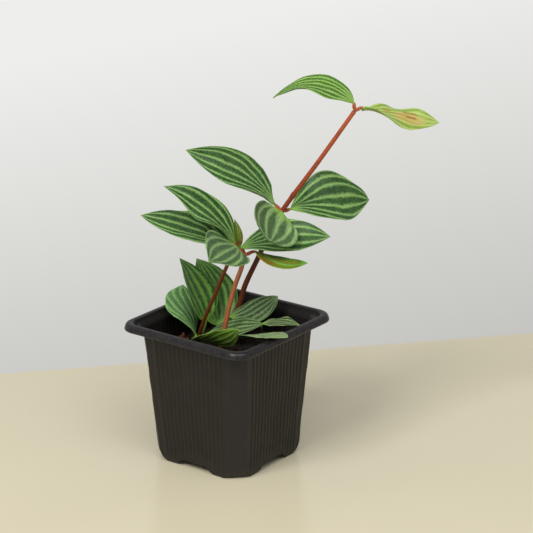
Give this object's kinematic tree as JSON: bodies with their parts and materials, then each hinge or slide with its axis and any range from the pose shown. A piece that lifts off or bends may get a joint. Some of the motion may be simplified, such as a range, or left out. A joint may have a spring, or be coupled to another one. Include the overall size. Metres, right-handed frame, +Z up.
{
  "type": "potted leafy plant",
  "caption": "Small plant with pointed striped leaves on leaning stems, rooted in dark compost in a square ribbed nursery pot with a rolled rim and arched feet.",
  "frame": {"origin": "middle of the bottom of the object's bounding box, on the plane the pot's feet stand on", "axes": "+Z up; the pot's four faces lie along X and Y, and the tall stem leans towards +X and +Y"},
  "size_m": [0.153, 0.1546, 0.2476],
  "materials": {
    "pot_plastic": "thin black moulded plastic, satin",
    "compost": "dark crumbly peat with bits of bark",
    "stem": "smooth fleshy red-brown stem, finely speckled",
    "leaf": "fleshy satin leaf, dark green with lighter lengthwise stripes",
    "young_leaf": "young fleshy leaf, yellow-green with reddish-brown veins"
  },
  "bodies": {
    "root": {"pot": "pot_plastic", "soil": "compost", "stem_left": "stem", "stem_middle": "stem", "stem_tall": "stem", "leaf_top_left": "leaf", "leaf_top_right": "young_leaf", "leaf_high_left": "leaf", "leaf_high_right": "leaf", "leaf_high_front": "leaf", "leaf_mid_upper": "leaf", "leaf_mid_lower": "leaf", "leaf_mid_front": "leaf", "leaf_mid_right": "leaf", "leaf_young_side": "young_leaf", "leaf_young_tip": "young_leaf", "leaf_base_left": "leaf", "leaf_base_tall": "leaf", "leaf_base_back": "leaf", "leaf_base_far": "leaf", "leaf_base_right": "leaf", "leaf_base_front": "leaf", "leaf_base_edge": "leaf", "leaf_base_small": "leaf"}
  },
  "joints": []
}
